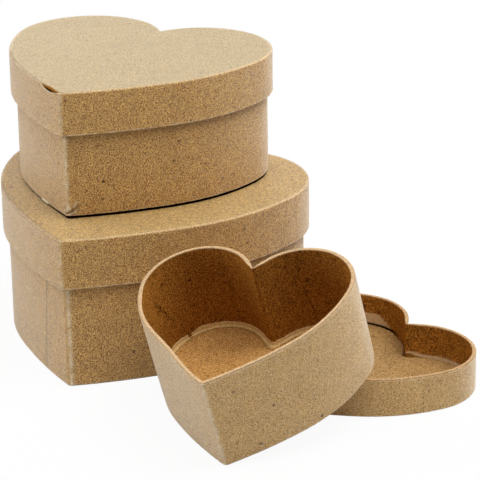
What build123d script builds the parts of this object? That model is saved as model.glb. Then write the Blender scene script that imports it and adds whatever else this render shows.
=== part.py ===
from build123d import *
import os
from dataclasses import dataclass
from math import asin, atan2, cos, degrees, hypot, radians, sin, sqrt

# Nesting set of three kraft board heart boxes with lift-off lids, in millimetres, +Z up.
# The closed large box carries the closed medium one. The small box stands open beside them,
# tipped forward on its point, with its base leaning on the point of its own upturned lid.
# The origin is in the middle of the large box's base, between its lobes, and its heart points along -Y.

# Outside width of each lid, height of each wall and depth of each lid
large_width = 150.0
large_wall_height = 70.0
large_lid_depth = 23.7
medium_width = 127.0
medium_wall_height = 58.5
medium_lid_depth = 20.5
small_width = 102.0
small_wall_height = 46.5
small_lid_depth = 18.0

# Board of the bent strips, board of the flat panels, and the facing paper with its glue
board = 1.5
panel = 1.8
paper = 0.3
glue = 0.05

# Inside radius of a fold, bevel of a lid's top edge, and how far the paper stops short of an edge
fold_radius = 0.4
edge_bevel = 0.7
paper_trim = 0.4

# Cove strip of paper tape between base and wall: its two legs, its upper edge and the break where its ends meet
cove_leg = 3.0
cove_lip = 0.4
cove_break = 2.5

# Gaps where strips meet end to end, round a panel, inside a lid and under the leaning box
seam_gap = 0.3
panel_gap = 0.1
lid_clearance = 0.75
lean_gap = 0.3

# Length by which a cutting shape runs past what it cuts
overrun = 2.0

# Heart outline: radii of its arcs as shares of the lid's width, and the angles where arc meets arc
lobe_radius_share = 0.274
flank_radius_share = 0.68
side_radius_share = 1.76
flank_angle = -10.0
side_angle = -44.0

# Where things meet round the outline: angles about a lobe's centre, and a share of the width from the point
seam_angle = 100.0
cove_break_angle = 39.0
lap_share = 0.14

# How the medium box sits on the large one, as shares of the large width
medium_shift_shares = (-0.061, 0.049)

# Where the small box stands: clear of the large lid's flank, and in shares of the large and the small width
neighbour_gap = 3.0
stand_x_small_share = 0.180
stand_y_large_share = 0.2
stand_y_small_share = 1.068

# How the small box leans: heading of the slope, turn of the box on it, heading of the lid below,
# and the fold at the lid's point seen from the stand, in shares of the small width
slope_heading = -13.9
slope_turn = 18.9
lid_heading = -29.4
lid_point_shares = (-0.048, 0.569)

# Whole thickness of a bent wall: paper, glue and board
shell = paper + glue + board


@dataclass
class BoxSize:
    """One box of the set: its lid's width, wall height, lid depth, and whether its paper laps beside the point."""

    name: str
    width: float
    wall_height: float
    lid_depth: float
    lap_beside_point: bool

    @property
    def closed_height(self):
        return self.wall_height + panel


def polar(radius, angle):
    """Vector of a length and an angle in the plane of the base."""
    return Vector(radius * cos(radians(angle)), radius * sin(radians(angle)))


def angle_of(vector):
    """Angle of a vector in the plane of the base."""
    return degrees(atan2(vector.Y, vector.X))


def mirrored(vector):
    """The same place on the heart's other half."""
    return Vector(-vector.X, vector.Y)


class HeartShell:
    """Bent wall of a box or lid. Each of its faces is an outline of arcs about the same centres."""

    def __init__(self, width, inset):
        """Width is the lid's, and inset is how far the wall's outer face lies inside the lid's."""
        self.width = width
        self.inset = inset
        self.lobe_radius = lobe_radius_share * width
        self.flank_radius = flank_radius_share * width
        self.side_radius = side_radius_share * width
        self.lobe = Vector(width / 2 - self.lobe_radius, 0)
        self.flank = self.lobe + polar(self.lobe_radius - self.flank_radius, flank_angle)
        self.side = self.flank + polar(self.flank_radius - self.side_radius, side_angle)

    def point_radius(self, depth):
        """Radius of the fold at the point, on the face that lies depth inside the outer one."""
        return fold_radius + max(shell - depth, 0)

    def point_fold(self, depth):
        """Centre of the fold at the point."""
        reach = self.side_radius - self.inset - depth - self.point_radius(depth)
        return Vector(0, self.side.Y - sqrt(reach**2 - self.side.X**2))

    def cleft_fold(self):
        """Centre of the fold at the cleft."""
        reach = self.lobe_radius - self.inset + fold_radius
        return Vector(0, sqrt(reach**2 - self.lobe.X**2))

    def outline(self, depth):
        """Heart-shaped face whose edge lies depth inside the outer face of the wall."""
        shrink = self.inset + depth
        point = self.point_fold(depth)
        cleft = self.cleft_fold()
        point_angle = angle_of(point - self.side)
        cleft_angle = angle_of(cleft - self.lobe)
        right_arcs = [
            CenterArc(self.side, self.side_radius - shrink, point_angle, side_angle - point_angle),
            CenterArc(self.flank, self.flank_radius - shrink, side_angle, flank_angle - side_angle),
            CenterArc(self.lobe, self.lobe_radius - shrink, flank_angle, cleft_angle - flank_angle),
        ]
        left_arcs = [mirror(arc, Plane.YZ) for arc in right_arcs]
        point_arc = CenterArc(point, self.point_radius(depth), -180 - point_angle, 180 + 2 * point_angle)
        cleft_arc = CenterArc(cleft, fold_radius + depth, cleft_angle - 180, 180 - 2 * cleft_angle)
        return make_face([point_arc, *right_arcs, cleft_arc, *left_arcs])

    def ring(self, outer_depth, inner_depth):
        """Section of a layer of the wall between two depths."""
        return self.outline(outer_depth) - self.outline(inner_depth)

    def cleft_wedge(self, gap):
        """Region of the cleft strip, up to the two seams behind the lobes, widened by half a gap."""
        angle = seam_angle - degrees(gap / 2 / self.lobe_radius)
        reach = self.lobe_radius + overrun
        right = self.lobe
        left = mirrored(self.lobe)
        return Polygon(right, right + polar(reach, angle), left + polar(reach, 180 - angle), left, align=None)

    def lap_slit(self, beside_point):
        """Slit where the two ends of the facing paper meet, on the left beside the point or in the cleft."""
        if beside_point:
            point_angle = angle_of(self.point_fold(0) - self.side)
            angle = 180 - point_angle - degrees(lap_share * self.width / self.side_radius)
            place = mirrored(self.side) + polar(self.side_radius - self.inset, angle)
        else:
            angle = 90
            place = self.cleft_fold() - Vector(0, fold_radius)
        return Pos(place.X, place.Y) * Rot(0, 0, angle) * Rectangle(overrun, seam_gap)


def board_ring(heart, height):
    """Board wall of a box or lid before it is parted into its two strips."""
    return extrude(heart.ring(paper + glue, shell), height)


def bent_strips(ring, heart, height):
    """The long strip, folded at the point, and the short one, folded at the cleft, of one board wall."""
    long_strip = ring - extrude(heart.cleft_wedge(seam_gap), height)
    cleft_strip = ring & extrude(heart.cleft_wedge(-seam_gap), height)
    return long_strip, cleft_strip


def facing_paper(heart, height, beside_point):
    """Paper round the outside of a wall, slit where its ends meet."""
    return extrude(heart.ring(0, paper) - heart.lap_slit(beside_point), height)


def cove_strip(heart):
    """Strip of tape in the corner of wall and base: a sloped face from the base up to the wall, broken once."""
    wall_face = shell + glue
    foot = heart.outline(wall_face + cove_leg)
    head = Pos(0, 0, cove_leg) * heart.outline(wall_face + cove_lip)
    ring = extrude(heart.outline(wall_face), cove_leg) - loft([foot.face(), head.face()], ruled=True)
    break_angle = 180 - cove_break_angle
    place = mirrored(heart.lobe) + polar(heart.lobe_radius - heart.inset - shell, break_angle)
    gap = extrude(Rectangle(2 * cove_leg + overrun, cove_break), cove_leg)
    return ring - Pos(place.X, place.Y) * Rot(0, 0, break_angle) * gap


def box_pieces(size, heart):
    """Pieces of a box that stands with its base at zero."""
    ring = board_ring(heart, size.wall_height)
    wall, cleft_wall = bent_strips(ring, heart, size.wall_height)
    wrap = facing_paper(heart, size.wall_height - 2 * paper_trim, size.lap_beside_point)
    return {
        f"{size.name}_wall": wall,
        f"{size.name}_cleft_wall": cleft_wall,
        f"{size.name}_base": extrude(heart.outline(shell + panel_gap), panel),
        f"{size.name}_cove_tape": Pos(0, 0, panel + glue) * cove_strip(heart),
        f"{size.name}_wall_paper": Pos(0, 0, paper_trim) * wrap,
    }


def lid_pieces(size, heart):
    """Pieces of a lid whose open edge is at zero and whose top is at the lid's depth."""
    ring = board_ring(heart, size.lid_depth)
    top_edges = ring.faces().sort_by(Axis.Z)[-1].outer_wire().edges()
    band, cleft_band = bent_strips(chamfer(top_edges, edge_bevel), heart, size.lid_depth)
    wrap = facing_paper(heart, size.lid_depth - edge_bevel - paper_trim, False)
    top = extrude(heart.outline(shell + panel_gap), panel)
    return {
        f"{size.name}_lid_band": band,
        f"{size.name}_lid_cleft_band": cleft_band,
        f"{size.name}_lid_top": Pos(0, 0, size.lid_depth - panel) * top,
        f"{size.name}_lid_paper": Pos(0, 0, paper_trim) * wrap,
    }


def export_nodes(pieces, place):
    """Write each piece to its own file, at its place in the set."""
    for node, piece in pieces.items():
        export_step(place * piece, os.path.join("parts", f"{node}.step"))


def lean_angle(lid_heart, stand, lid_point):
    """Slope of the small box's base, from its standing point up to the near point of the lid's rim."""
    uphill = polar(1, slope_heading + 90)
    distance = (lid_point - stand).dot(uphill) - lid_heart.point_radius(0)
    slope = atan2(small_lid_depth, distance)
    return degrees(slope + asin(lean_gap / hypot(small_lid_depth, distance)))


large = BoxSize("large", large_width, large_wall_height, large_lid_depth, True)
medium = BoxSize("medium", medium_width, medium_wall_height, medium_lid_depth, False)
small = BoxSize("small", small_width, small_wall_height, small_lid_depth, False)

lid_hearts = {size.name: HeartShell(size.width, 0) for size in (large, medium, small)}
box_hearts = {size.name: HeartShell(size.width, shell + lid_clearance) for size in (large, medium, small)}

# Closed boxes: the medium one stands on the large lid
medium_shift = Vector(*medium_shift_shares) * large_width
closed_places = {
    "large": Pos(0, 0, 0),
    "medium": Pos(medium_shift.X, medium_shift.Y, large.closed_height),
}

# Open small box and its lid: the lid lies on its top, and the box stands on its point and leans on the lid's point
small_box_heart = box_hearts["small"]
small_lid_heart = lid_hearts["small"]
stand = Vector(
    large_width / 2 + neighbour_gap + stand_x_small_share * small_width,
    -stand_y_large_share * large_width - stand_y_small_share * small_width,
)
lid_point = stand + Vector(*lid_point_shares) * small_width
lid_fold = small_lid_heart.point_fold(0)
small_lid_place = (
    Pos(lid_point.X, lid_point.Y, small_lid_depth)
    * Rot(0, 0, lid_heading)
    * Pos(-lid_fold.X, -lid_fold.Y, 0)
    * Rot(0, 180, 0)
)
box_fold = small_box_heart.point_fold(0)
small_box_place = (
    Pos(stand.X, stand.Y, 0)
    * Rot(0, 0, slope_heading)
    * Rot(lean_angle(small_lid_heart, stand, lid_point), 0, 0)
    * Pos(0, small_box_heart.point_radius(paper + glue), 0)
    * Rot(0, 0, slope_turn)
    * Pos(-box_fold.X, -box_fold.Y, 0)
)

os.makedirs("parts", exist_ok=True)
for size in (large, medium):
    box_place = closed_places[size.name]
    lid_place = box_place * Pos(0, 0, size.closed_height - size.lid_depth)
    export_nodes(box_pieces(size, box_hearts[size.name]), box_place)
    export_nodes(lid_pieces(size, lid_hearts[size.name]), lid_place)
export_nodes(box_pieces(small, small_box_heart), small_box_place)
export_nodes(lid_pieces(small, small_lid_heart), small_lid_place)
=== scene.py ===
from math import asin, atan2, cos, degrees, hypot, pi, radians, sin, sqrt

import bpy
import numpy as np
from mathutils import Matrix, Vector


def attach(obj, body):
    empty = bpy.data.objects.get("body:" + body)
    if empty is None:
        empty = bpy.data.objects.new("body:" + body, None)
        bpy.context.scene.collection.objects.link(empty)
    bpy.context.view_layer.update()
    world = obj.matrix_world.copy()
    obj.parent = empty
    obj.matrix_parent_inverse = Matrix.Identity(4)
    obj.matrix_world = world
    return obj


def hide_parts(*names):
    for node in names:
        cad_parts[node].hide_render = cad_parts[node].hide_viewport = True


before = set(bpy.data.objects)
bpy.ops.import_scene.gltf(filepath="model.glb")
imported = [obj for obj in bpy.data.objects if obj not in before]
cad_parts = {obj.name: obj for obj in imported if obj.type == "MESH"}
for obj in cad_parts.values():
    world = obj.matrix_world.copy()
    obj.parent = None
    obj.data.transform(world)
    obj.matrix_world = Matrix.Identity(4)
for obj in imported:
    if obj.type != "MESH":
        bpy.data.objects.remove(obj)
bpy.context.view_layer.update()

# Nesting set of three kraft board heart boxes. Sizes are in millimetres here, and meshes are made in metres.
MM = 0.001

# Each box: width and depth of its lid, height of its wall
SIZES = {
    "large": {"width": 150.0, "wall": 70.0, "lid": 23.7},
    "medium": {"width": 127.0, "wall": 58.5, "lid": 20.5},
    "small": {"width": 102.0, "wall": 46.5, "lid": 18.0},
}

# Layers of a wall, measured inwards from its outer face, then folds, trims and gaps
PAPER = 0.3
GLUE = 0.05
BOARD = 1.5
PANEL = 1.8
SHELL = PAPER + GLUE + BOARD
FOLD_RADIUS = 0.4
PAPER_TRIM = 0.4
SEAM_GAP = 0.14
TIGHT_GAP = 0.06
PANEL_GAP = 0.1
LID_CLEARANCE = 0.75
LEAN_GAP = 0.3

# Heart outline: arc radii as shares of the width, and the angles where arc meets arc
LOBE_SHARE = 0.274
FLANK_SHARE = 0.68
SIDE_SHARE = 1.76
FLANK_ANGLE = -10.0
SIDE_ANGLE = -44.0
SEAM_ANGLE = 100.0
COVE_BREAK_ANGLE = 39.0
LAP_SHARE = 0.14

# Mesh steps along and up a wall as shares of the width, rows near an edge, and the step on hidden faces
STEP_ALONG_SHARE = 0.008
STEP_UP_SHARE = 0.0125
EDGE_ROWS = (0.15, 0.35, 0.6, 0.9, 1.3, 1.8, 2.4, 3.2, 4.2, 5.4, 6.8, 8.2)
HIDDEN_STEP = 12.0

# Samples round an outline: spans in degrees that they are counted from, and samples of each fold
SIDE_SPAN = 15.0
LOBE_SPAN = 160.0
POINT_STEPS = 6
CLEFT_STEPS = 8

# In samples: how near to a strip's end one may lie, and how far from a seam its wandering dies out
END_CLEARANCE = 0.2
SWAY_REACH = 14

# Angles of the points on a rounded corner
CORNER_TURNS = (30, 60)

# Panels: rings as shares of the rim, how far in the rim lies, and the middle's share of the way to the point
PANEL_SHARES = (0.02, 0.35, 0.65, 0.85)
PANEL_RIM = 6.0
PANEL_MIDDLE_SHARE = 0.15


def polar(radius, angle):
    """Point at a radius and an angle in degrees."""
    return np.array([radius * cos(radians(angle)), radius * sin(radians(angle))])


def angle_of(vector):
    """Direction of a flat vector in degrees."""
    return degrees(atan2(vector[1], vector[0]))


class Heart:
    """Closed outline of a wall at any depth.
    Every depth has the same samples, which start at the point and go round by the right."""

    def __init__(self, width, inset):
        self.width = width
        self.inset = inset
        self.lobe_radius = LOBE_SHARE * width
        self.flank_radius = FLANK_SHARE * width
        self.side_radius = SIDE_SHARE * width
        self.lobe = np.array([width / 2 - self.lobe_radius, 0.0])
        self.flank = self.lobe + polar(self.lobe_radius - self.flank_radius, FLANK_ANGLE)
        self.side = self.flank + polar(self.flank_radius - self.side_radius, SIDE_ANGLE)
        side_length = self.side_radius * radians(SIDE_SPAN)
        flank_length = self.flank_radius * radians(FLANK_ANGLE - SIDE_ANGLE)
        lobe_length = self.lobe_radius * radians(LOBE_SPAN)
        step = STEP_ALONG_SHARE * width
        counts = [int(length / step) for length in (side_length, flank_length, lobe_length)]
        self.counts = [POINT_STEPS] + counts + [CLEFT_STEPS]
        points, _ = self.outline(0)
        steps = np.linalg.norm(np.diff(np.vstack([points, points[:1]]), axis=0), axis=1)
        self.run = np.concatenate([[0], np.cumsum(steps)])
        self.length = self.run[-1]
        self.count = len(points)
        self.spacing = self.length / self.count
        self.seam = self.lobe_station(SEAM_ANGLE)
        self.cove_break = self.count - self.lobe_station(COVE_BREAK_ANGLE)
        self.cleft = self.count / 2

    def point_radius(self, depth):
        """Radius of the fold at the point, larger on the outer faces."""
        return FOLD_RADIUS + max(SHELL - depth, 0)

    def point_fold(self, depth):
        """Centre of the fold at the point."""
        reach = self.side_radius - self.inset - depth - self.point_radius(depth)
        return np.array([0, self.side[1] - sqrt(reach**2 - self.side[0] ** 2)])

    def cleft_fold(self):
        """Centre of the fold in the cleft."""
        reach = self.lobe_radius - self.inset + FOLD_RADIUS
        return np.array([0, sqrt(reach**2 - self.lobe[0] ** 2)])

    def cleft_angle(self):
        """Angle about the right lobe's centre where its arc meets the fold in the cleft."""
        return angle_of(self.cleft_fold() - self.lobe)

    def outline(self, depth):
        """Points and outward normals of the face that lies depth inside the outer one."""
        shrink = self.inset + depth
        point = self.point_fold(depth)
        cleft = self.cleft_fold()
        point_angle = angle_of(point - self.side)
        cleft_angle = self.cleft_angle()
        arcs = [
            (point, self.point_radius(depth), -90, point_angle, 1),
            (self.side, self.side_radius - shrink, point_angle, SIDE_ANGLE, 1),
            (self.flank, self.flank_radius - shrink, SIDE_ANGLE, FLANK_ANGLE, 1),
            (self.lobe, self.lobe_radius - shrink, FLANK_ANGLE, cleft_angle, 1),
            (cleft, FOLD_RADIUS + depth, cleft_angle - 180, -90, -1),
        ]
        points = []
        normals = []
        for (centre, radius, start, end, sign), count in zip(arcs, self.counts):
            for angle in np.linspace(start, end, count, endpoint=False):
                points.append(centre + polar(radius, angle))
                normals.append(polar(sign, angle))
        middle = cleft - np.array([0, FOLD_RADIUS + depth])
        points = np.array(points)
        normals = np.array(normals)
        flip = np.array([-1, 1])
        points = np.vstack([points, middle, points[:0:-1] * flip])
        normals = np.vstack([normals, [0, 1], normals[:0:-1] * flip])
        return points, normals

    def stations(self, start, end, start_gap, end_gap):
        """Places along the outline from start round to end, half a gap short of each, in samples."""
        first = start + start_gap / 2 / self.spacing
        last = end - end_gap / 2 / self.spacing
        inner = np.arange(int(first) + 1, int(np.ceil(last)))
        inner = inner[(inner - first > END_CLEARANCE) & (last - inner > END_CLEARANCE)]
        return np.concatenate([[first], inner, [last]])

    def at(self, depth, stations):
        """Points and normals at places along the outline, which may run past its end."""
        points, normals = self.outline(depth)
        index = np.arange(self.count + 1)
        wrapped = np.mod(stations, self.count)
        closed_points = np.vstack([points, points[:1]])
        closed_normals = np.vstack([normals, normals[:1]])
        place = np.column_stack([np.interp(wrapped, index, closed_points[:, k]) for k in (0, 1)])
        out = np.column_stack([np.interp(wrapped, index, closed_normals[:, k]) for k in (0, 1)])
        return place, out / np.linalg.norm(out, axis=1)[:, None]

    def lobe_station(self, angle):
        """Place in samples of an angle about the right lobe's centre."""
        share = (angle - FLANK_ANGLE) / (self.cleft_angle() - FLANK_ANGLE)
        return sum(self.counts[:3]) + share * self.counts[3]

    def lobe_run(self, angle):
        """Length along the outer face from the point to an angle about the right lobe's centre."""
        return np.interp(self.lobe_station(angle), np.arange(self.count + 1), self.run)

    def run_at(self, stations):
        """Length along the outer face from the point, positive to the right and negative to the left."""
        run = np.interp(np.mod(stations, self.count), np.arange(self.count + 1), self.run)
        return np.where(run > self.length / 2, run - self.length, run)


# Unevenness, marks and edges


def ripple(run, height, seed):
    """Smooth unevenness between about -1 and 1 along a wall."""
    waves = ((37.0, 0.021, 0.9), (83.0, 0.034, 2.3), (21.0, 0.05, 4.1), (143.0, 0.013, 5.2))
    total = 0
    for k, (length, rise, phase) in enumerate(waves):
        total = total + np.sin(2 * pi * run / length + rise * height * (2 + k) + phase * (1 + seed))
    return total / len(waves)


def rag(run, seed):
    """Fine raggedness between about -1 and 1 along a cut or torn edge."""
    waves = ((3.1, 0.7), (4.7, 2.9), (7.3, 1.7), (12.9, 5.3), (2.3, 4.4))
    total = 0
    for length, phase in waves:
        total = total + np.sin(2 * pi * run / length + phase * (2 + seed))
    return total / len(waves)


def bump_at(value, centre, reach):
    """Smooth hill of height 1 at centre that ends a reach away."""
    share = np.clip(1 - np.abs((value - centre) / reach), 0, 1)
    return share * share * (3 - 2 * share)


def between(value, low, high, soft):
    """1 from low to high, falling softly to 0 outside."""
    rise = np.clip((value - low) / soft + 1, 0, 1)
    fall = np.clip((high - value) / soft + 1, 0, 1)
    share = rise * fall
    return share * share * (3 - 2 * share)


def stroke(run, level, start, end, reach):
    """1 on the straight line between two places on a wall, falling to 0 a reach away from it."""
    way = (end[0] - start[0], end[1] - start[1])
    along = ((run - start[0]) * way[0] + (level - start[1]) * way[1]) / (way[0] ** 2 + way[1] ** 2)
    along = np.clip(along, 0, 1)
    away = np.hypot(run - start[0] - along * way[0], level - start[1] - along * way[1])
    return bump_at(away, 0, reach)


def rows_between(low, high, step):
    """Heights from low to high, close together near both ends and a step apart between."""
    reach = (high - low) / 2 - EDGE_ROWS[0]
    near = np.array([row for row in EDGE_ROWS if row < reach])
    count = int((high - low - 2 * near[-1]) / step)
    inner = np.linspace(low + near[-1], high - near[-1], count + 2)[1:-1]
    return np.concatenate([[low], low + near, inner, (high - near)[::-1], [high]])


def rounded_section(outer, inner, low, high, corner, top_corner, outer_step, inner_step):
    """Section of a flat strip, up its outer face, over its top, down its inner face and back below."""
    points = []
    for height in rows_between(low + corner, high - top_corner, outer_step):
        points.append((outer, height))
    for angle in CORNER_TURNS:
        turn = polar(top_corner, angle)
        points.append((outer + top_corner - turn[0], high - top_corner + turn[1]))
    points.append((outer + top_corner, high))
    points.append((inner - corner, high))
    for angle in CORNER_TURNS:
        turn = polar(corner, angle)
        points.append((inner - corner + turn[1], high - corner + turn[0]))
    for height in rows_between(low + corner, high - corner, inner_step)[::-1]:
        points.append((inner, height))
    for angle in CORNER_TURNS:
        turn = polar(corner, angle)
        points.append((inner - corner + turn[0], low + corner - turn[1]))
    points.append((inner - corner, low))
    points.append((outer + corner, low))
    for angle in CORNER_TURNS:
        turn = polar(corner, angle)
        points.append((outer + corner - turn[1], low + corner - turn[0]))
    return np.array(points)


# Meshes


def new_piece(name, points, faces, place, paleness, shade):
    """Object of a mesh in metres at its place in the set, with its paled and its darkened spots."""
    world = np.column_stack([points, np.ones(len(points))]) @ np.array(place).T
    mesh = bpy.data.meshes.new(name)
    mesh.from_pydata((world[:, :3] * MM).tolist(), [], faces)
    for label, values in (("paleness", paleness), ("shade", shade)):
        layer = mesh.attributes.new(label, "FLOAT", "POINT")
        layer.data.foreach_set("value", np.clip(values, 0, 1).astype(np.float32))
    mesh.polygons.foreach_set("use_smooth", [True] * len(mesh.polygons))
    mesh.update()
    piece = bpy.data.objects.new(name, mesh)
    bpy.context.scene.collection.objects.link(piece)
    return piece


def swept(heart, stations, section, change, sway=None, sway_ends=()):
    """Vertices, faces, and paled and darkened spots of a strip whose section is led round the heart.
    change(run, depth, height) gives the moved depth and height, and the paling and shade there.
    sway(height) gives how far the strip's cut end wanders along the wall, near the places in sway_ends."""
    rows = len(section)
    count = len(stations)
    points = np.zeros((count, rows, 3))
    paleness = np.zeros((count, rows))
    shade = np.zeros((count, rows))
    closeness = np.zeros(count)
    for end in sway_ends:
        closeness = np.maximum(closeness, np.clip(1 - np.abs(stations - end) / SWAY_REACH, 0, 1))
    for j, (depth, height) in enumerate(section):
        shift = sway(height) / heart.spacing if sway else 0
        places = stations + shift * closeness
        run = heart.run_at(places)
        moved, level, paled, dark = change(run, depth, height)
        place, normal = heart.at(depth, places)
        points[:, j, :2] = place - normal * (moved - depth + 0 * run)[:, None]
        points[:, j, 2] = level
        paleness[:, j] = paled
        shade[:, j] = dark
    faces = []
    for i in range(count - 1):
        after = i + 1
        for j in range(rows):
            up = (j + 1) % rows
            faces.append((i * rows + j, after * rows + j, after * rows + up, i * rows + up))
    faces.append(tuple(range(rows)))
    faces.append(tuple((count - 1) * rows + j for j in reversed(range(rows))))
    return points.reshape(-1, 3), faces, paleness.ravel(), shade.ravel()


def plate(heart, rings, under_rings, change):
    """Vertices, faces, spots and material numbers of a flat panel.
    The rings run from the middle of its underside outwards and back over its top. Each is a depth,
    a shrink towards the middle and a height, and the first under_rings take the second material.
    change(run, depth, shrink, height) gives the shift inwards, the height, and the paling and shade there."""
    stations = np.arange(heart.count)
    run = heart.run_at(stations)
    middle = np.array([0, heart.point_fold(0)[1] * PANEL_MIDDLE_SHARE])
    count = len(stations)
    points = []
    paleness = []
    shade = []
    for depth, shrink, height in rings:
        place, normal = heart.at(depth, stations)
        place = middle + (place - middle) * shrink
        inward, level, paled, dark = change(run, depth, shrink, height)
        points.append(np.column_stack([place - normal * (inward + 0 * run)[:, None], level + 0 * run]))
        paleness.append(paled + 0 * run)
        shade.append(dark + 0 * run)
    faces = []
    looks = []
    for j in range(len(rings) - 1):
        for i in range(count):
            after = (i + 1) % count
            faces.append((j * count + i, j * count + after, (j + 1) * count + after, (j + 1) * count + i))
            looks.append(1 if j < under_rings else 0)
    last = len(rings) * count
    points = np.vstack(points)
    poles = [np.append(middle, points[:count, 2].mean()), np.append(middle, points[-count:, 2].mean())]
    points = np.vstack([points, poles])
    for i in range(count):
        after = (i + 1) % count
        faces.append((last, after, i))
        faces.append((last + 1, last - count + i, last - count + after))
        looks += [1 if under_rings else 0, 0]
    paleness = np.append(np.concatenate(paleness), [0, 0])
    shade = np.append(np.concatenate(shade), [0, 0])
    return points, faces, paleness, shade, looks


# Materials


def node_of(tree, kind, **inputs):
    """New node whose inputs are set by name, with underscores for spaces."""
    node = tree.nodes.new(kind)
    for name, value in inputs.items():
        node.inputs[name.replace("_", " ")].default_value = value
    return node


def put(tree, value, place):
    """Links a socket to an input, or sets the input to a constant."""
    if isinstance(value, bpy.types.NodeSocket):
        tree.links.new(value, place)
    else:
        place.default_value = value


def mixed(tree, factor, one, two, mode="MIX"):
    """Colour mix whose factor and colours are sockets or constants."""
    node = tree.nodes.new("ShaderNodeMix")
    node.data_type = "RGBA"
    node.blend_type = mode
    for index, value in ((0, factor), (6, one), (7, two)):
        put(tree, value, node.inputs[index])
    return node.outputs[2]


def ranged(tree, value, low, high, to_low=0.0, to_high=1.0):
    """A value mapped from low..high to to_low..to_high and kept there."""
    node = tree.nodes.new("ShaderNodeMapRange")
    tree.links.new(value, node.inputs["Value"])
    node.inputs["From Min"].default_value = low
    node.inputs["From Max"].default_value = high
    node.inputs["To Min"].default_value = to_low
    node.inputs["To Max"].default_value = to_high
    return node.outputs["Result"]


def combined(tree, one, two, operation="MULTIPLY"):
    """Two values, sockets or constants, put together by an operation."""
    node = tree.nodes.new("ShaderNodeMath")
    node.operation = operation
    for index, value in enumerate((one, two)):
        put(tree, value, node.inputs[index])
    return node.outputs[0]


def shifted(tree, coordinates, offset):
    """Coordinates moved by an offset."""
    mapping = tree.nodes.new("ShaderNodeMapping")
    mapping.inputs["Location"].default_value = offset
    tree.links.new(coordinates, mapping.inputs["Vector"])
    return mapping.outputs["Vector"]


# Flecks: size and spread in millimetres, share of cells that hold one, and share of the size that is full
SMALL_SPECKS = (0.75, 1.5, 0.5, 0.25)
LARGE_SPECKS = (1.6, 6.5, 0.45, 0.4)
CHIPS = (0.75, 2.0, 0.35, 0.25)
CHIP_STRENGTH = 0.95
# Where a fleck ends as a share of its size, how softly cells are chosen, and the strength of the faintest one
FLECK_EDGE = 0.6
FLECK_SOFTNESS = 0.02
FLECK_FAINTEST = 0.2


def flecks(tree, coordinates, size, spread, share, core):
    """Mask of scattered flecks in a share of the cells, full in a core and faint at the edge."""
    cells = node_of(tree, "ShaderNodeTexVoronoi", Scale=1 / (spread * MM))
    tree.links.new(coordinates, cells.inputs["Vector"])
    near = ranged(tree, cells.outputs["Distance"], core * size / spread, FLECK_EDGE * size / spread, 1.0, 0.0)
    split = tree.nodes.new("ShaderNodeSeparateColor")
    tree.links.new(cells.outputs["Color"], split.inputs["Color"])
    chosen = ranged(tree, split.outputs["Red"], 1 - share, 1 - share + FLECK_SOFTNESS)
    strength = ranged(tree, split.outputs["Green"], 0.0, 1.0, FLECK_FAINTEST, 1.0)
    return combined(tree, combined(tree, near, chosen), strength)


# Grain, clouds and stray fibres: sizes in millimetres, and the height of their relief in metres
GRAIN_SIZE = 0.5
CLOUD_SIZE = 9.0
FIBRE_SIZE = 2.6
RELIEF_HEIGHT = 0.00035

# Stretches of the noises, and what they become: grain colour, patchy paling, roughness, brightness of clouds
GRAIN_RANGE = (0.32, 0.68)
PALING_RANGE = (0.25, 0.65)
PALING_STRENGTHS = (0.6, 1.0)
ROUGHNESS_RANGE = (0.3, 0.7)
ROUGHNESSES = (0.5, 0.34)
CLOUD_RANGE = (0.3, 0.7)
CLOUD_LIGHTS = (0.93, 1.06)
FIBRE_WIDTH = 0.0006
FIBRE_STRENGTH = 0.3

# How much more green and blue change than red in the grain, the least that deep grain keeps of a colour,
# and what a small speck keeps of each
GRAIN_SPREAD = (1.0, 1.35, 2.0)
GRAIN_LEAST = 0.08
SPECK_SHARES = (0.2, 0.1, 0.04)

# Tints of gloss and sheen
GLOSS_TINT = (1.0, 0.88, 0.6, 1)
SHEEN_TINT = (1.0, 0.96, 0.86, 1)
SHEEN_ROUGHNESS = 0.3


def between_colours(one, two, share):
    """Colour a share of the way from one to the other."""
    return [a + share * (b - a) for a, b in zip(one, two)]


def opaque(colour):
    return tuple(colour) + (1,)


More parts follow.
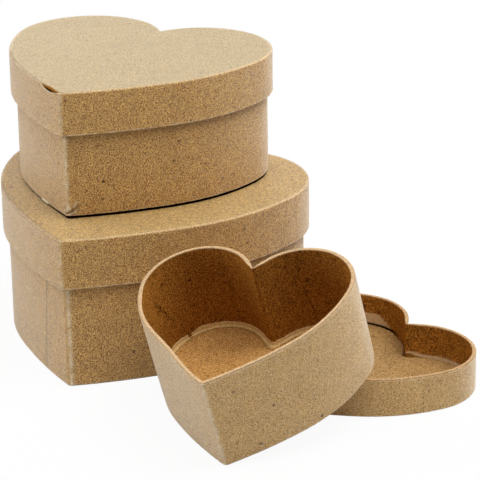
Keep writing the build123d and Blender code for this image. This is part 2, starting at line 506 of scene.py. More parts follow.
def kraft(name, base, pale, dark, contrast, lift, bump, sheen, gloss, specks=1.0):
    """Pressed kraft fibre: fine grain, soft clouds, dark and pale flecks, stray fibres, paling and darkening.
    Contrast spreads the grain about the base colour, and lift takes its high end towards the pale one."""
    material = bpy.data.materials.new(name)
    material.use_nodes = True
    tree = material.node_tree
    shader = tree.nodes["Principled BSDF"]
    coordinates = tree.nodes.new("ShaderNodeTexCoord").outputs["Object"]
    grain = node_of(tree, "ShaderNodeTexNoise", Scale=1 / (GRAIN_SIZE * MM), Detail=1.0, Roughness=0.6)
    clouds = node_of(tree, "ShaderNodeTexNoise", Scale=1 / (CLOUD_SIZE * MM), Detail=3.0, Roughness=0.6)
    fibre = node_of(tree, "ShaderNodeTexNoise", Scale=1 / (FIBRE_SIZE * MM), Detail=1.0, Distortion=2.5)
    for texture, offset in ((grain, (0, 0, 0)), (clouds, (0.3, 0.1, 0.2)), (fibre, (0.7, 0.4, 0.1))):
        tree.links.new(shifted(tree, coordinates, offset), texture.inputs["Vector"])

    deep = [c * max(1 - contrast * more, GRAIN_LEAST) for c, more in zip(base, GRAIN_SPREAD)]
    widest = [min(c * (1 + contrast * more), 1) for c, more in zip(base, GRAIN_SPREAD)]
    high = between_colours(widest, pale, lift)
    bright = between_colours(high, pale, lift)
    colour = mixed(tree, ranged(tree, grain.outputs["Fac"], *GRAIN_RANGE), opaque(deep), opaque(high))
    light = ranged(tree, clouds.outputs["Fac"], *CLOUD_RANGE, *CLOUD_LIGHTS)
    tint = tree.nodes.new("ShaderNodeCombineColor")
    for channel in ("Red", "Green", "Blue"):
        tree.links.new(light, tint.inputs[channel])
    colour = mixed(tree, 1.0, colour, tint.outputs["Color"], "MULTIPLY")

    ridge = combined(tree, fibre.outputs["Fac"], 0.5, "SUBTRACT")
    line = combined(tree, ridge, ridge)
    strand = ranged(tree, line, 0.0, FIBRE_WIDTH, FIBRE_STRENGTH, 0.0)
    colour = mixed(tree, strand, colour, opaque(bright))
    small_specks = flecks(tree, coordinates, *SMALL_SPECKS)
    speck_colour = opaque(c * kept for c, kept in zip(base, SPECK_SHARES))
    colour = mixed(tree, combined(tree, small_specks, specks), colour, speck_colour)
    large_specks = flecks(tree, shifted(tree, coordinates, (0.02, 0.07, 0.04)), *LARGE_SPECKS)
    colour = mixed(tree, combined(tree, large_specks, specks), colour, opaque(dark))
    chips = flecks(tree, shifted(tree, coordinates, (0.05, 0.02, 0.08)), *CHIPS)
    colour = mixed(tree, combined(tree, chips, CHIP_STRENGTH), colour, opaque(bright))

    # Paling from the mesh: real wear, and also painted light and painted highlight
    paleness = tree.nodes.new("ShaderNodeAttribute")
    paleness.attribute_name = "paleness"
    patchy = ranged(tree, grain.outputs["Fac"], *PALING_RANGE, *PALING_STRENGTHS)
    colour = mixed(tree, combined(tree, paleness.outputs["Fac"], patchy), colour, opaque(pale))
    # Darkening from the mesh: dark marks, and also painted shade and painted shadow
    shade = tree.nodes.new("ShaderNodeAttribute")
    shade.attribute_name = "shade"
    colour = mixed(tree, shade.outputs["Fac"], colour, opaque(dark))
    tree.links.new(colour, shader.inputs["Base Color"])

    unevenness = combined(tree, grain.outputs["Fac"], clouds.outputs["Fac"], "ADD")
    relief = combined(tree, unevenness, strand, "ADD")
    bumps = node_of(tree, "ShaderNodeBump", Strength=bump, Distance=RELIEF_HEIGHT)
    tree.links.new(relief, bumps.inputs["Height"])
    tree.links.new(bumps.outputs["Normal"], shader.inputs["Normal"])
    roughness = ranged(tree, grain.outputs["Fac"], *ROUGHNESS_RANGE, *ROUGHNESSES)
    tree.links.new(roughness, shader.inputs["Roughness"])
    shader.inputs["Specular IOR Level"].default_value = gloss
    shader.inputs["Sheen Weight"].default_value = sheen
    shader.inputs["Sheen Roughness"].default_value = SHEEN_ROUGHNESS
    shader.inputs["Specular Tint"].default_value = GLOSS_TINT
    shader.inputs["Sheen Tint"].default_value = SHEEN_TINT
    return material


PAPER_LOOK = kraft(
    "kraft_paper",
    base=(0.465, 0.226, 0.024),
    pale=(0.92, 0.80, 0.57),
    dark=(0.06, 0.022, 0.005),
    contrast=0.7,
    lift=0.22,
    bump=0.9,
    sheen=0.95,
    gloss=0.55,
)
# Paler copy of the paper for the small box and lid: painted light, for the extra light that falls on them
LIGHT_PAINTED_PAPER_LOOK = kraft(
    "light_painted_kraft_paper",
    base=(0.535, 0.284, 0.045),
    pale=(0.92, 0.82, 0.64),
    dark=(0.06, 0.022, 0.005),
    contrast=0.41,
    lift=0.3,
    bump=0.9,
    sheen=0.95,
    gloss=0.55,
)
PAPER_LOOKS = {"large": PAPER_LOOK, "medium": PAPER_LOOK, "small": LIGHT_PAINTED_PAPER_LOOK}
TOP_LOOK = kraft(
    "kraft_top",
    base=(0.318, 0.170, 0.030),
    pale=(0.82, 0.70, 0.50),
    dark=(0.07, 0.03, 0.008),
    contrast=0.9,
    lift=0.22,
    bump=0.6,
    sheen=0.95,
    gloss=0.62,
)
# Warmer copy of the top finish for the large lid: painted light, for warm light bounced from the medium box
BOUNCE_PAINTED_TOP_LOOK = kraft(
    "bounce_painted_kraft_top",
    base=(0.395, 0.2, 0.022),
    pale=(0.84, 0.70, 0.46),
    dark=(0.07, 0.03, 0.008),
    contrast=0.8,
    lift=0.18,
    bump=0.6,
    sheen=0.95,
    gloss=0.6,
)
TOP_LOOKS = {"large": BOUNCE_PAINTED_TOP_LOOK, "medium": TOP_LOOK, "small": TOP_LOOK}
BOARD_LOOK = kraft(
    "kraft_board",
    base=(0.312, 0.104, 0.006),
    pale=(0.84, 0.66, 0.42),
    dark=(0.004, 0.001, 0.0),
    contrast=1.0,
    lift=0.07,
    bump=0.6,
    sheen=0.0,
    gloss=0.0,
)
# Base board, far lighter than the wall board: painted light, for the light falling on the open box's floor
LIGHT_PAINTED_PANEL_LOOK = kraft(
    "light_painted_kraft_panel",
    base=(0.605, 0.29, 0.048),
    pale=(0.90, 0.70, 0.44),
    dark=(0.03, 0.011, 0.003),
    contrast=0.42,
    lift=0.3,
    bump=0.5,
    sheen=0.05,
    gloss=0.03,
)
LINING_LOOK = kraft(
    "kraft_lining",
    base=(0.35, 0.184, 0.036),
    pale=(0.82, 0.66, 0.44),
    dark=(0.03, 0.011, 0.003),
    contrast=0.5,
    lift=0.25,
    bump=0.5,
    sheen=0.05,
    gloss=0.1,
)
TAPE_LOOK = kraft(
    "paper_tape",
    base=(0.88, 0.57, 0.23),
    pale=(0.95, 0.72, 0.42),
    dark=(0.12, 0.06, 0.02),
    contrast=0.3,
    lift=0.1,
    bump=0.6,
    sheen=0.0,
    gloss=0.0,
    specks=0.7,
)


# Boxes and lids. A run is a length along a wall from its point, and is negative to the left.

# Board pressed thin where it folds into the cleft
PINCH_DEPTH = 1.0
PINCH_REACH = 5.0

# Small box: left side leaning in at its rim, and the ragged seam on its right lobe
BOW_DEPTH = 2.6
BOW_RUN = -34.0
BOW_REACH = 34.0
SEAM_LEVELS = (0.0, 15.0, 24.0, 33.0, 45.0)
SEAM_RUNS = (128.6, 129.0, 130.8, 132.3, 130.2)

# Small box: bends of the wrinkle on its inside and ends of the spot, each a run and a height
WRINKLE = ((-85.6, 31.0), (-87.4, 28.2), (-88.0, 25.8), (-90.8, 22.6), (-91.6, 19.0), (-94.0, 16.0))
WRINKLE_REACH = 0.65
SPOT = ((128.0, 29.8), (128.9, 29.4))
SPOT_REACH = 0.9
SEAM_LINE_REACH = 0.8

# Medium box: how far its paper ends above its foot, growing from left to right, and its torn stretch
FOOT_RUNS = (-62.0, -50.0, -10.0, 2.0)
FOOT_GAPS = (0.0, 0.45, 0.65, 0.9)
TORN_START = -27.0
TORN_END = -19.5

# Medium box: ends of the ridge, flap and hollow in the crumpled paper at its point, and how far each reaches
RIDGE = ((-2.3, 2.2), (4.9, 7.6), 0.9)
FLAP = ((0.4, 1.2), (3.6, 3.2), 0.7)
HOLLOW = ((-0.4, 1.6), (5.6, 6.2), 1.1)

# Strength and reach of the painted shadow of a closed lid's edge on its box wall, just below where it ends
LID_SHADOW_SHADE = 0.25
LID_SHADOW_REACH = 2.6

# Medium lid: place and reach of the slit where its paper has come away at the top, and how far it sags
SLIT_RUN = -9.2
SLIT_REACH = 9.4
SLIT_SAG = 1.15

# Small lid: stretch of the lining's edge that curls up behind one lobe
CURL_START = 114.0
CURL_END = 132.0
CURL_HEIGHT = 1.7

# Small lid: marks on its inside, given by runs and heights, and for the strip also by runs and reaches
# Pool of painted light on the inner wall: its runs, the slant of its far end, and its lowest height
LIT_PATCH_START = 95.0
LIT_PATCH_END = 123.0
LIT_PATCH_SLANT = 1.6
LIT_PATCH_LOW = 9.0
STRIP_LINE = ((-157, -150, -133), (14.2, 15.7, 16.0))
STRIP_REACH = ((-159, -156, -147, -143, -120, -113), (0, 0.7, 0.7, 1.2, 1.3, 0))
CREASE = ((-147.5, 2.6), (-149.7, 9.3), 0.6)
# Lower edge of the painted shade on the band behind the curled lining
CURL_SHADE_LINE = ((100, 116, 133), (13.6, 13.7, 14.4))

# Lids: skin of the top that reaches over the band, radius of the paper's turn there, and where the skin ends
LID_SKIN = 0.14
TURN_RADIUS = 0.95
BRIM = 0.74

# Large box: slant of the line where its paper laps, in length along per length up, and its middle height
LAP_SLANT = 0.11
LAP_LEVEL = 13.0

# Tape in the corner of a box: height up the wall, width on the base, thickness, rounding and end gap
TAPE_RISE = 2.1
TAPE_WIDTH = 1.5
TAPE_THICK = 0.16
TAPE_FILLET = 0.6
TAPE_END_GAP = 1.6


def finish_piece(node, made, place, body, looks):
    """A made mesh that stands for a node, rides on its body and takes its finish from a slot."""
    points, faces, paleness, shade = made[:4]
    piece = new_piece(f"{node}_piece", points, faces, place, paleness, shade)
    for look in looks:
        piece.data.materials.append(look)
    if len(made) > 4:
        piece.data.polygons.foreach_set("material_index", made[4])
    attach(piece, body)
    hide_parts(node)


def fold_wear(run, level, centre, seed):
    """Pale rubbing along the fold at the point, broken here and there."""
    broken = 0.65 + 0.35 * np.sin(level * 0.9 + seed) * np.sin(level * 0.31 + 2 * seed)
    return bump_at(run, centre, 1.7) * broken


def dress_box(name, place, seed):
    """Wall strips, base, cove tape and facing paper of one box."""
    width = SIZES[name]["width"]
    height = SIZES[name]["wall"]
    body = f"{name}_box"
    heart = Heart(width, SHELL + LID_CLEARANCE)
    step = STEP_UP_SHARE * width

    def leaning(run, level):
        """How far a wall lies inside its true outline."""
        inward = 0.1 * ripple(run, level, seed)
        if name == "small":
            inward = inward + BOW_DEPTH * bump_at(run, BOW_RUN, BOW_REACH) * (max(level, 0) / height) ** 1.5
        return inward

    def inner_marks(run, level):
        """Darkened places on the inner face of the small box: a wrinkle, a spot and its seam."""
        wrinkle = 0 * run
        for start, end in zip(WRINKLE, WRINKLE[1:]):
            wrinkle = np.maximum(wrinkle, stroke(run, level, start, end, WRINKLE_REACH))
        spot = stroke(run, level, *SPOT, SPOT_REACH)
        seam_run = np.interp(level, SEAM_LEVELS, SEAM_RUNS) + 0.3 * rag(level, seed)
        seam_line = bump_at(run, seam_run, SEAM_LINE_REACH)
        return np.maximum(np.maximum(0.85 * wrinkle, spot), 0.25 * seam_line)

    def board_change(run, depth, level):
        inner_share = (depth - PAPER - GLUE) / BOARD
        fold = bump_at(np.abs(run), heart.length / 2, PINCH_REACH)
        top = bump_at(level, height, 0.8)
        moved = level - 0.12 * top * (0.6 + 0.4 * rag(run, seed))
        dark = 0 * run
        if name == "medium" and inner_share < 0.3:
            # Painted shade on the board's foot: the dark gap where the box stands on the large lid
            dark = dark + between(level, -1, 1.3, 0.4)
        if name == "small" and inner_share > 0.9:
            dark = inner_marks(run, level)
        depth = depth + leaning(run, level) - PINCH_DEPTH * fold * inner_share
        return depth, moved, 0.6 * top + 0 * run, dark

    def seam_sway(level):
        if name != "small":
            return 0.4 * rag(level, seed)
        return np.interp(level, SEAM_LEVELS, SEAM_RUNS) - heart.lobe_run(SEAM_ANGLE) + 0.3 * rag(level, seed)

    section = rounded_section(PAPER + GLUE, SHELL, 0, height, 0.3, 0.3, HIDDEN_STEP, step)
    long_way = heart.stations(-heart.seam, heart.seam, TIGHT_GAP, SEAM_GAP)
    short_way = heart.stations(heart.seam, heart.count - heart.seam, SEAM_GAP, TIGHT_GAP)
    for node, way in ((f"{name}_wall", long_way), (f"{name}_cleft_wall", short_way)):
        made = swept(heart, way, section, board_change, seam_sway, [heart.seam])
        finish_piece(node, made, place, body, [BOARD_LOOK])

    def foot_marks(run, level):
        """Outward swelling, paling and darkening of the crumpled and torn paper at the medium box's foot."""
        ridge = stroke(run, level, *RIDGE)
        flap = stroke(run, level, *FLAP)
        hollow = stroke(run, level, *HOLLOW)
        spots = 0.55 + 0.45 * np.sin(2.1 * run + 0.6)
        torn = between(run, TORN_START, TORN_END, 0.7) * bump_at(level, PAPER_TRIM, 1.5)
        creased = between(run, -3, 4, 3) * between(level, -1, 5, 3)
        creases = creased * rag(1.5 * run + 2.1 * level, seed) * rag(1.2 * run - 1.7 * level, seed + 1)
        swell = 0.7 * ridge + 0.45 * flap - 0.25 * hollow + 0.45 * torn + 0.9 * creases
        # Pale on the ridge and on raised creases is painted highlight
        pale = 1.2 * ridge * spots + 0.8 * flap + 1.5 * torn + 2 * np.maximum(creases, 0)
        # Dark in the hollow and in sunken creases is painted shade
        return swell, pale, 0.5 * hollow * (1 - ridge) + 1.2 * np.maximum(-creases, 0)

    def paper_change(run, depth, level):
        low = bump_at(level, PAPER_TRIM, 0.9)
        high = bump_at(level, height - PAPER_TRIM, 0.9)
        moved = level + 0.12 * low * (1 + rag(run, seed)) - 0.1 * high * (1 + rag(run, seed + 1))
        paled = 0.4 * low + 0.3 * high
        depth = depth + leaning(run, level)
        dark = 0 * run
        if name == "large":
            lap_run = -LAP_SHARE * width + lap_sway(level)
            dark = 0.4 * bump_at(run, lap_run, 1.0)
            paled = paled + 0.95 * fold_wear(run, level, 1.2, seed)
        else:
            paled = paled + 0.75 * fold_wear(run, level, 0.0, seed)
        if name != "small":
            # Painted shadow of the closed lid's edge on the wall, which stays when the lid is lifted
            dark = dark + LID_SHADOW_SHADE * bump_at(level, height + PANEL - SIZES[name]["lid"] - 0.6, LID_SHADOW_REACH)
        if name == "medium":
            swell, pale, foot_painted_shade = foot_marks(run, level)
            dark = dark + foot_painted_shade
            depth = depth - swell
            paled = paled + pale
            moved = moved + np.interp(run, FOOT_RUNS, FOOT_GAPS) * bump_at(level, PAPER_TRIM, 3.0)
        return depth, moved, paled, dark

    def lap_sway(level):
        return LAP_SLANT * (level - LAP_LEVEL)

    start = heart.cleft
    sway = None
    if name == "large":
        lap = heart.length - LAP_SHARE * width
        start = np.interp(lap, heart.run, np.arange(heart.count + 1))
        sway = lap_sway
    section = rounded_section(0, PAPER, PAPER_TRIM, height - PAPER_TRIM, 0.1, 0.14, step, HIDDEN_STEP)
    around = heart.stations(start, start + heart.count, TIGHT_GAP, TIGHT_GAP)
    made = swept(heart, around, section, paper_change, sway, [start, start + heart.count])
    finish_piece(f"{name}_wall_paper", made, place, body, [PAPER_LOOKS[name]])

    edge = SHELL + PANEL_GAP

    def base_change(run, depth, shrink, level):
        # Painted shade on the base along the cove tape's edge
        tape_edge_shade = bump_at(depth, SHELL + GLUE + TAPE_WIDTH + 0.2, 0.7) * (level > PANEL - 0.1)
        return 0, level, 0, 0.5 * tape_edge_shade * (0.7 + 0.5 * rag(run, seed))

    rings = [(edge + PANEL_RIM, share, 0) for share in PANEL_SHARES]
    rings += [(edge + PANEL_RIM, 1, 0), (edge + 0.3, 1, 0), (edge, 1, 0.3)]
    rings += [(edge, 1, PANEL - 0.2), (edge + 0.2, 1, PANEL)]
    rings += [(edge + more, 1, PANEL) for more in (0.9, 1.3, 1.7, 2.1, 2.6, 4)]
    rings += [(edge + PANEL_RIM, share, PANEL) for share in (1,) + PANEL_SHARES[::-1]]
    made = plate(heart, rings, 0, base_change)
    finish_piece(f"{name}_base", made, place, body, [LIGHT_PAINTED_PANEL_LOOK])

    floor = PANEL + GLUE
    wall = SHELL + GLUE
    section = [(wall, floor), (wall, floor + TAPE_RISE / 2), (wall, floor + TAPE_RISE)]
    section += [(wall + TAPE_THICK, floor + TAPE_RISE * share) for share in (1, 0.85, 0.7, 0.55, 0.4)]
    for angle in (10, 30, 50, 70, 82):
        turn = polar(TAPE_FILLET, angle)
        corner = TAPE_THICK + TAPE_FILLET
        section.append((wall + corner - turn[0], floor + corner - turn[1]))
    section += [(wall + TAPE_WIDTH * share, floor + TAPE_THICK) for share in (0.75, 1)]
    section.append((wall + TAPE_WIDTH, floor))
    torn = -heart.lobe_run(COVE_BREAK_ANGLE)

    def tape_change(run, depth, level):
        reach = np.clip((depth - wall - TAPE_THICK - TAPE_FILLET) / TAPE_WIDTH, 0, 1)
        rise = np.clip((level - floor) / TAPE_RISE, 0, 1)
        fold = bump_at(np.abs(run), heart.length / 2, PINCH_REACH)
        ragged = 0.13 * rag(run, seed + 3) - 0.3 * bump_at(run, torn, 6) + 0.25 * bump_at(run, torn - 8, 5)
        swell = 0.25 * bump_at(run, torn - 3, 3) * rise
        depth_more = (0.3 * rag(run, seed + 2) - 0.3 * bump_at(run, torn, 5)) * TAPE_WIDTH * reach
        paled = 0.7 * rise + 0.3 * rag(run, seed + 5)
        depth = depth + leaning(run, level) - PINCH_DEPTH * fold + depth_more + swell
        return depth, level + ragged * TAPE_RISE * rise, paled, 0 * run

    around = heart.stations(heart.cove_break, heart.cove_break + heart.count, TAPE_END_GAP, TAPE_END_GAP)
    made = swept(heart, around, np.array(section), tape_change)
    finish_piece(f"{name}_cove_tape", made, place, body, [TAPE_LOOK])


def dress_lid(name, place, seed):
    """Band strips, top panel and facing paper of one lid, open edge at zero."""
    width = SIZES[name]["width"]
    deep = SIZES[name]["lid"]
    body = f"{name}_lid"
    heart = Heart(width, 0)
    step = STEP_UP_SHARE * width
    edge = SHELL + PANEL_GAP
    under = deep - PANEL
    lip_paleness = 0.4 if name == "small" else 1.0

    def slit(run):
        """How far the paper has come away along the top edge, left of the point."""
        if name != "medium":
            return 0 * run
        return bump_at(run, SLIT_RUN, SLIT_REACH) ** 0.7

    def curl(run):
        """How far the lining's edge stands up from the inside of the top."""
        if name != "small":
            return 0 * run
        return between(run, CURL_START, CURL_END, 8)

    def darker_top_edge(run):
        """Where the top edge of a large or medium lid is darker along a thin line, left of the point."""
        if name == "small":
            return 0 * run
        return between(run, -0.55 * width, -1.0, 5)

    def inner_marks(run, level):
        """Small lid's inner face: painted light, a strip, a crease, and painted shade behind the curl."""
        lit_patch_end = LIT_PATCH_END + LIT_PATCH_SLANT * (level - LIT_PATCH_LOW)
        # Painted light: a pool of light on the inner wall
        lit_patch = between(run, LIT_PATCH_START, lit_patch_end, 0.8) * between(level, LIT_PATCH_LOW + 0.2, under - 2, 0.6)
        strip_level = np.interp(run, *STRIP_LINE)
        strip_reach = np.interp(run, *STRIP_REACH)
        strip = np.clip(1.4 - np.abs(level - strip_level) / np.maximum(strip_reach, 0.01), 0, 1)
        crease = stroke(run, level, *CREASE)
        shade_low = np.interp(run, *CURL_SHADE_LINE)
        # Painted shade on the band behind the curled lining
        dark = between(level, shade_low, deep, 0.25) * curl(run)
        return 0.85 * lit_patch + strip * (1.3 + 0.4 * rag(run, seed)), np.maximum(dark, 0.35 * crease)

    def board_change(run, depth, level):
        inner_share = (depth - PAPER - GLUE) / BOARD
        fold = bump_at(np.abs(run), heart.length / 2, PINCH_REACH)
        low = bump_at(level, 0, 0.8)
        moved = level + 0.1 * low * (0.6 + 0.4 * rag(run, seed))
        paled = 0.45 * low + 0 * run
        dark = 0 * run
        if name == "medium" and inner_share < 0.3:
            # Painted shade in the slit, on the board behind the sagging paper lip and over its top edge
            dark = between(level, deep - 4, deep - 0.7, 0.3) * slit(run) * np.interp(run, (-9, -4), (1, 0.5))
            dark = np.maximum(dark, 0.5 * np.clip(3 * slit(run), 0, 1) * (level > deep - 1.2))
        if name == "small" and inner_share > 0.9:
            pale, dark = inner_marks(run, level)
            paled = paled + pale
        wave = 0.1 * ripple(run, level, seed) * (level < deep - 2)
        return depth + wave - PINCH_DEPTH * fold * inner_share, moved, paled, dark

    section = rounded_section(PAPER + GLUE, SHELL, 0, deep - LID_SKIN - 0.02, 0.3, 0.62, HIDDEN_STEP, step)
    long_way = heart.stations(-heart.seam, heart.seam, TIGHT_GAP, TIGHT_GAP)
    short_way = heart.stations(heart.seam, heart.count - heart.seam, TIGHT_GAP, TIGHT_GAP)
    for node, way in ((f"{name}_lid_band", long_way), (f"{name}_lid_cleft_band", short_way)):
        made = swept(heart, way, section, board_change)
        finish_piece(node, made, place, body, [BOARD_LOOK])

    section = [(0, h) for h in rows_between(PAPER_TRIM + 0.1, deep - TURN_RADIUS, step)]
    for angle in (15, 30, 45, 60, 72):
        turn = polar(TURN_RADIUS, angle)
        section.append((TURN_RADIUS - turn[0], deep - TURN_RADIUS + turn[1]))
    for angle in (72, 60, 45, 30, 15):
        turn = polar(TURN_RADIUS - PAPER, angle)
        section.append((TURN_RADIUS - turn[0], deep - TURN_RADIUS + turn[1]))
    section += [(PAPER, h) for h in rows_between(PAPER_TRIM + 0.1, deep - TURN_RADIUS, HIDDEN_STEP)[::-1]]
    section += [(PAPER - 0.1, PAPER_TRIM), (0.1, PAPER_TRIM)]

    def paper_change(run, depth, level):
        wave = 0.1 * ripple(run, level, seed) * (level < deep - 4)
        low = bump_at(level, PAPER_TRIM, 0.75)
        high = bump_at(level, deep, 0.9)
        from_turn = hypot(TURN_RADIUS - depth, level - deep + TURN_RADIUS)
        inner = level > deep - TURN_RADIUS and from_turn < TURN_RADIUS - PAPER / 2
        flat = PAPER if inner or (level <= deep - TURN_RADIUS and depth > 0.2) else 0.0
        open_share = slit(run)
        near_top = np.clip((level - deep + 3.6) / 3.6, 0, 1) ** 1.5
        moved = level + 0.18 * low * (0.5 + rag(run, seed)) - SLIT_SAG * open_share * near_top
        bent = depth + (flat - depth) * np.clip(open_share * 2, 0, 1) - 0.45 * open_share * near_top
        lip = open_share * bump_at(level, deep, 0.9)
        broken = np.clip(0.55 + 0.9 * rag(run / 2, seed), 0.15, 1)
        paled = lip_paleness * low * broken + 0.25 * high * (1 - darker_top_edge(run))
        paled = paled + 0.5 * fold_wear(run, level, 0.0, seed) + lip
        line = bump_at(level, deep - 0.4, 0.9) * darker_top_edge(run) * (1 - np.clip(open_share * 4, 0, 1))
        return bent + wave, moved, paled, 0.42 * line * np.clip(0.75 + 0.6 * rag(run / 2, seed + 1), 0, 1)

    around = heart.stations(heart.cleft, heart.cleft + heart.count, TIGHT_GAP, TIGHT_GAP)
    made = swept(heart, around, np.array(section), paper_change)
    finish_piece(f"{name}_lid_paper", made, place, body, [PAPER_LOOKS[name]])

    def top_change(run, depth, shrink, level):
        open_share = slit(run)
        at_brim = bump_at(depth, BRIM, 1.3) * (level > deep - 0.5)
        inward = open_share * at_brim * (0.9 + 0.35 * rag(run, seed))
        curled = curl(run) * (level < under + 0.5) * (shrink == 1)
        inward = inward + 0.5 * curled * bump_at(depth, edge, 2.5)
        raised = level - CURL_HEIGHT * curled * bump_at(depth, edge, 5.0)
        # Darker brim: painted shade in the slit, and the darker edge line left of the point
        edge_share = np.maximum(darker_top_edge(run), open_share)
        dark = 0.55 * edge_share * bump_at(depth, BRIM, 1.1) * (level > deep - 0.5)
        return inward, raised, 0.3 * at_brim * (1 - edge_share), dark

    rings = [(edge + PANEL_RIM, share, under) for share in PANEL_SHARES]
    rings += [(edge + more, 1, under) for more in (PANEL_RIM, 4.5, 3.2, 2.2, 1.4, 0.8, 0.3)]
    rings.append((edge, 1, under + 0.3))
    under_rings = len(rings)
    rings += [(edge, 1, deep - LID_SKIN), (BRIM, 1, deep - LID_SKIN), (BRIM, 1, deep - 0.06)]
    rings += [(BRIM + 0.12, 1, deep), (BRIM + 1.2, 1, deep), (edge + 2, 1, deep)]
    rings += [(edge + PANEL_RIM, share, deep) for share in (1,) + PANEL_SHARES[::-1]]
    made = plate(heart, rings, under_rings, top_change)
    finish_piece(f"{name}_lid_top", made, place, body, [TOP_LOOKS[name], LINING_LOOK])


# Places in the set


def turned(angle, axis):
    """Turn by an angle in degrees about an axis."""
    return Matrix.Rotation(radians(angle), 4, axis)


def moved_to(x, y, z):
    """Shift in millimetres."""
    return Matrix.Translation((x, y, z))


# Medium box on the large lid, as shares of the large width
MEDIUM_SHIFT_SHARES = (-0.061, 0.049)
# Small box beside the set: its standing point and its lid's point, as shares of the small width
NEIGHBOUR_GAP = 3.0
STAND_FRONT_SHARE = 0.2
STAND_SHARES = (0.180, -1.068)
LID_POINT_SHARES = (-0.048, 0.569)
SLOPE_HEADING = -13.9
SLOPE_TURN = 18.9
LID_HEADING = -29.4

large_width = SIZES["large"]["width"]
large_top = SIZES["large"]["wall"] + PANEL
medium_top = SIZES["medium"]["wall"] + PANEL
large_place = Matrix.Identity(4)
medium_place = moved_to(*(share * large_width for share in MEDIUM_SHIFT_SHARES), large_top)
large_lid_place = moved_to(0, 0, large_top - SIZES["large"]["lid"])
medium_lid_place = medium_place @ moved_to(0, 0, medium_top - SIZES["medium"]["lid"])

small_width = SIZES["small"]["width"]
small_depth = SIZES["small"]["lid"]
small_box_heart = Heart(small_width, SHELL + LID_CLEARANCE)
small_lid_heart = Heart(small_width, 0)
stand = np.array([large_width / 2 + NEIGHBOUR_GAP, -STAND_FRONT_SHARE * large_width])
stand = stand + np.array(STAND_SHARES) * small_width
lid_point = stand + np.array(LID_POINT_SHARES) * small_width
uphill = polar(1, SLOPE_HEADING + 90)
distance = (lid_point - stand) @ uphill - small_lid_heart.point_radius(0)
lean = degrees(atan2(small_depth, distance) + asin(LEAN_GAP / hypot(small_depth, distance)))
lid_fold = small_lid_heart.point_fold(0)
box_fold = small_box_heart.point_fold(0)
small_lid_place = (
    moved_to(lid_point[0], lid_point[1], small_depth)
    @ turned(LID_HEADING, "Z")
    @ moved_to(-lid_fold[0], -lid_fold[1], 0)
    @ turned(180, "Y")
)
small_box_place = (
    moved_to(stand[0], stand[1], 0)
    @ turned(SLOPE_HEADING, "Z")
    @ turned(lean, "X")
    @ moved_to(0, small_box_heart.point_radius(PAPER + GLUE), 0)
    @ turned(SLOPE_TURN, "Z")
    @ moved_to(-box_fold[0], -box_fold[1], 0)
)

dress_box("large", large_place, 1)
dress_lid("large", large_lid_place, 2)
dress_box("medium", medium_place, 3)
dress_lid("medium", medium_lid_place, 4)
dress_box("small", small_box_place, 5)
dress_lid("small", small_lid_place, 6)


# Camera at the photograph's place: angles in degrees, place in metres, focal length in pixels of its frame
FRAME_PIXELS = 480
FOCAL_PIXELS = 2246.81
SENSOR_WIDTH = 36.0
CAMERA_AZIMUTH = 24.0477
CAMERA_PITCH = 21.8617
CAMERA_ROLL = 0.84482
CAMERA_PLACE = (0.445838, -0.903040, 0.438809)

camera_data = bpy.data.cameras.new("camera")
camera = bpy.data.objects.new("camera", camera_data)
bpy.context.scene.collection.objects.link(camera)
bpy.context.scene.camera = camera
camera_data.sensor_width = SENSOR_WIDTH
camera_data.lens = FOCAL_PIXELS / FRAME_PIXELS * SENSOR_WIDTH
camera_data.clip_start = 0.05
camera_data.clip_end = 20.0
azimuth = radians(CAMERA_AZIMUTH)
pitch = radians(CAMERA_PITCH)
roll = radians(CAMERA_ROLL)
forward = Vector((-sin(azimuth) * cos(pitch), cos(azimuth) * cos(pitch), -sin(pitch)))
level_right = Vector((cos(azimuth), sin(azimuth), 0))
level_up = level_right.cross(forward)
right = cos(roll) * level_right - sin(roll) * level_up
up = sin(roll) * level_right + cos(roll) * level_up
camera.matrix_world = Matrix(
    (
        (right.x, up.x, -forward.x, CAMERA_PLACE[0]),
        (right.y, up.y, -forward.y, CAMERA_PLACE[1]),
        (right.z, up.z, -forward.z, CAMERA_PLACE[2]),
        (0, 0, 0, 1),
    )
)

# Floor: half its side, how far it lies below the set, its grey, and how far it is shown as white
FLOOR_REACH = 4.0
FLOOR_DROP = 0.0002
FLOOR_GREY = (0.7, 0.7, 0.7, 1)
FLOOR_WHITE_SHARE = 0.94
WHITE = (1, 1, 1, 1)


def shown_white(tree, output_kind, plain, white, share):
    """Shows white by a share to the camera, in reflections and through glass, and plain to all other rays."""
    path = tree.nodes.new("ShaderNodeLightPath")
    seen = combined(tree, path.outputs["Is Camera Ray"], path.outputs["Is Glossy Ray"], "MAXIMUM")
    seen = combined(tree, seen, path.outputs["Is Transmission Ray"], "MAXIMUM")
    blend = tree.nodes.new("ShaderNodeMixShader")
    tree.links.new(combined(tree, seen, share), blend.inputs[0])
    tree.links.new(plain.outputs[0], blend.inputs[1])
    tree.links.new(white.outputs[0], blend.inputs[2])
    output = tree.nodes.new(output_kind)
    tree.links.new(blend.outputs[0], output.inputs["Surface"])


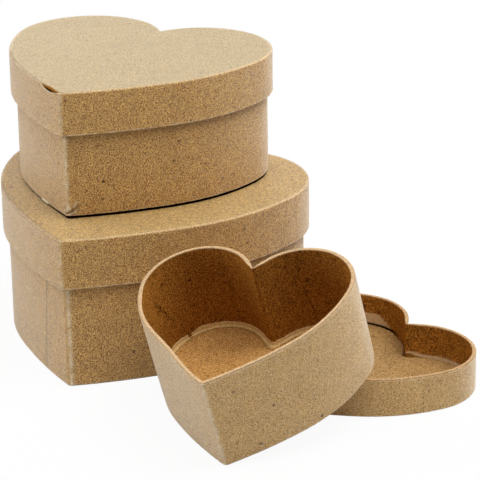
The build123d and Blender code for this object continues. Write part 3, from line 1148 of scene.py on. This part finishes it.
# Pale floor that keeps the set's shadow
floor_mesh = bpy.data.meshes.new("floor")
corners = [(x * FLOOR_REACH, y * FLOOR_REACH, 0) for x, y in ((-1, -1), (1, -1), (1, 1), (-1, 1))]
floor_mesh.from_pydata(corners, [], [(0, 1, 2, 3)])
floor = bpy.data.objects.new("floor", floor_mesh)
floor.location.z = -FLOOR_DROP
bpy.context.scene.collection.objects.link(floor)
floor_look = bpy.data.materials.new("floor")
floor_look.use_nodes = True
tree = floor_look.node_tree
tree.nodes.clear()
matt = node_of(tree, "ShaderNodeBsdfDiffuse", Color=FLOOR_GREY)
white = node_of(tree, "ShaderNodeEmission", Color=WHITE, Strength=1.0)
shown_white(tree, "ShaderNodeOutputMaterial", matt, white, FLOOR_WHITE_SHARE)
floor_mesh.materials.append(floor_look)

# World: white behind the set, and no light from it on the set
world = bpy.data.worlds.new("studio")
bpy.context.scene.world = world
world.use_nodes = True
tree = world.node_tree
tree.nodes.clear()
unlit = node_of(tree, "ShaderNodeBackground", Color=WHITE, Strength=0.0)
white = node_of(tree, "ShaderNodeBackground", Color=WHITE, Strength=1.0)
shown_white(tree, "ShaderNodeOutputWorld", unlit, white, 1.0)

# Middle of the set, at which all lights look
LIGHT_TARGET = Vector((0.04, -0.03, 0.06))


def softbox(name, offset, size, power):
    """Square soft light at an offset in metres from the middle of the set: right, back and up."""
    back = Vector((forward.x, forward.y, 0)).normalized()
    place = LIGHT_TARGET + offset[0] * level_right + offset[1] * back + offset[2] * Vector((0, 0, 1))
    lamp = bpy.data.lights.new(name, "AREA")
    lamp.shape = "SQUARE"
    lamp.size = size
    lamp.energy = power
    light = bpy.data.objects.new(name, lamp)
    light.location = place
    light.rotation_mode = "QUATERNION"
    light.rotation_quaternion = (LIGHT_TARGET - place).to_track_quat("-Z", "Y")
    bpy.context.scene.collection.objects.link(light)


softbox("left_light", (-1.0, 0.1, 0.5), 0.8, 6.6)
softbox("left_back_light", (-0.7, 0.8, 0.6), 0.8, 4.9)
softbox("right_back_light", (0.8, 0.8, 0.5), 0.9, 10.2)
softbox("top_front_light", (0.0, -0.5, 1.1), 0.9, 6.9)
softbox("top_right_light", (0.6, -0.15, 1.1), 0.8, 11.8)
softbox("front_left_light", (-0.7, -0.9, 0.5), 0.8, 0.9)

bpy.context.scene.view_settings.view_transform = "Standard"
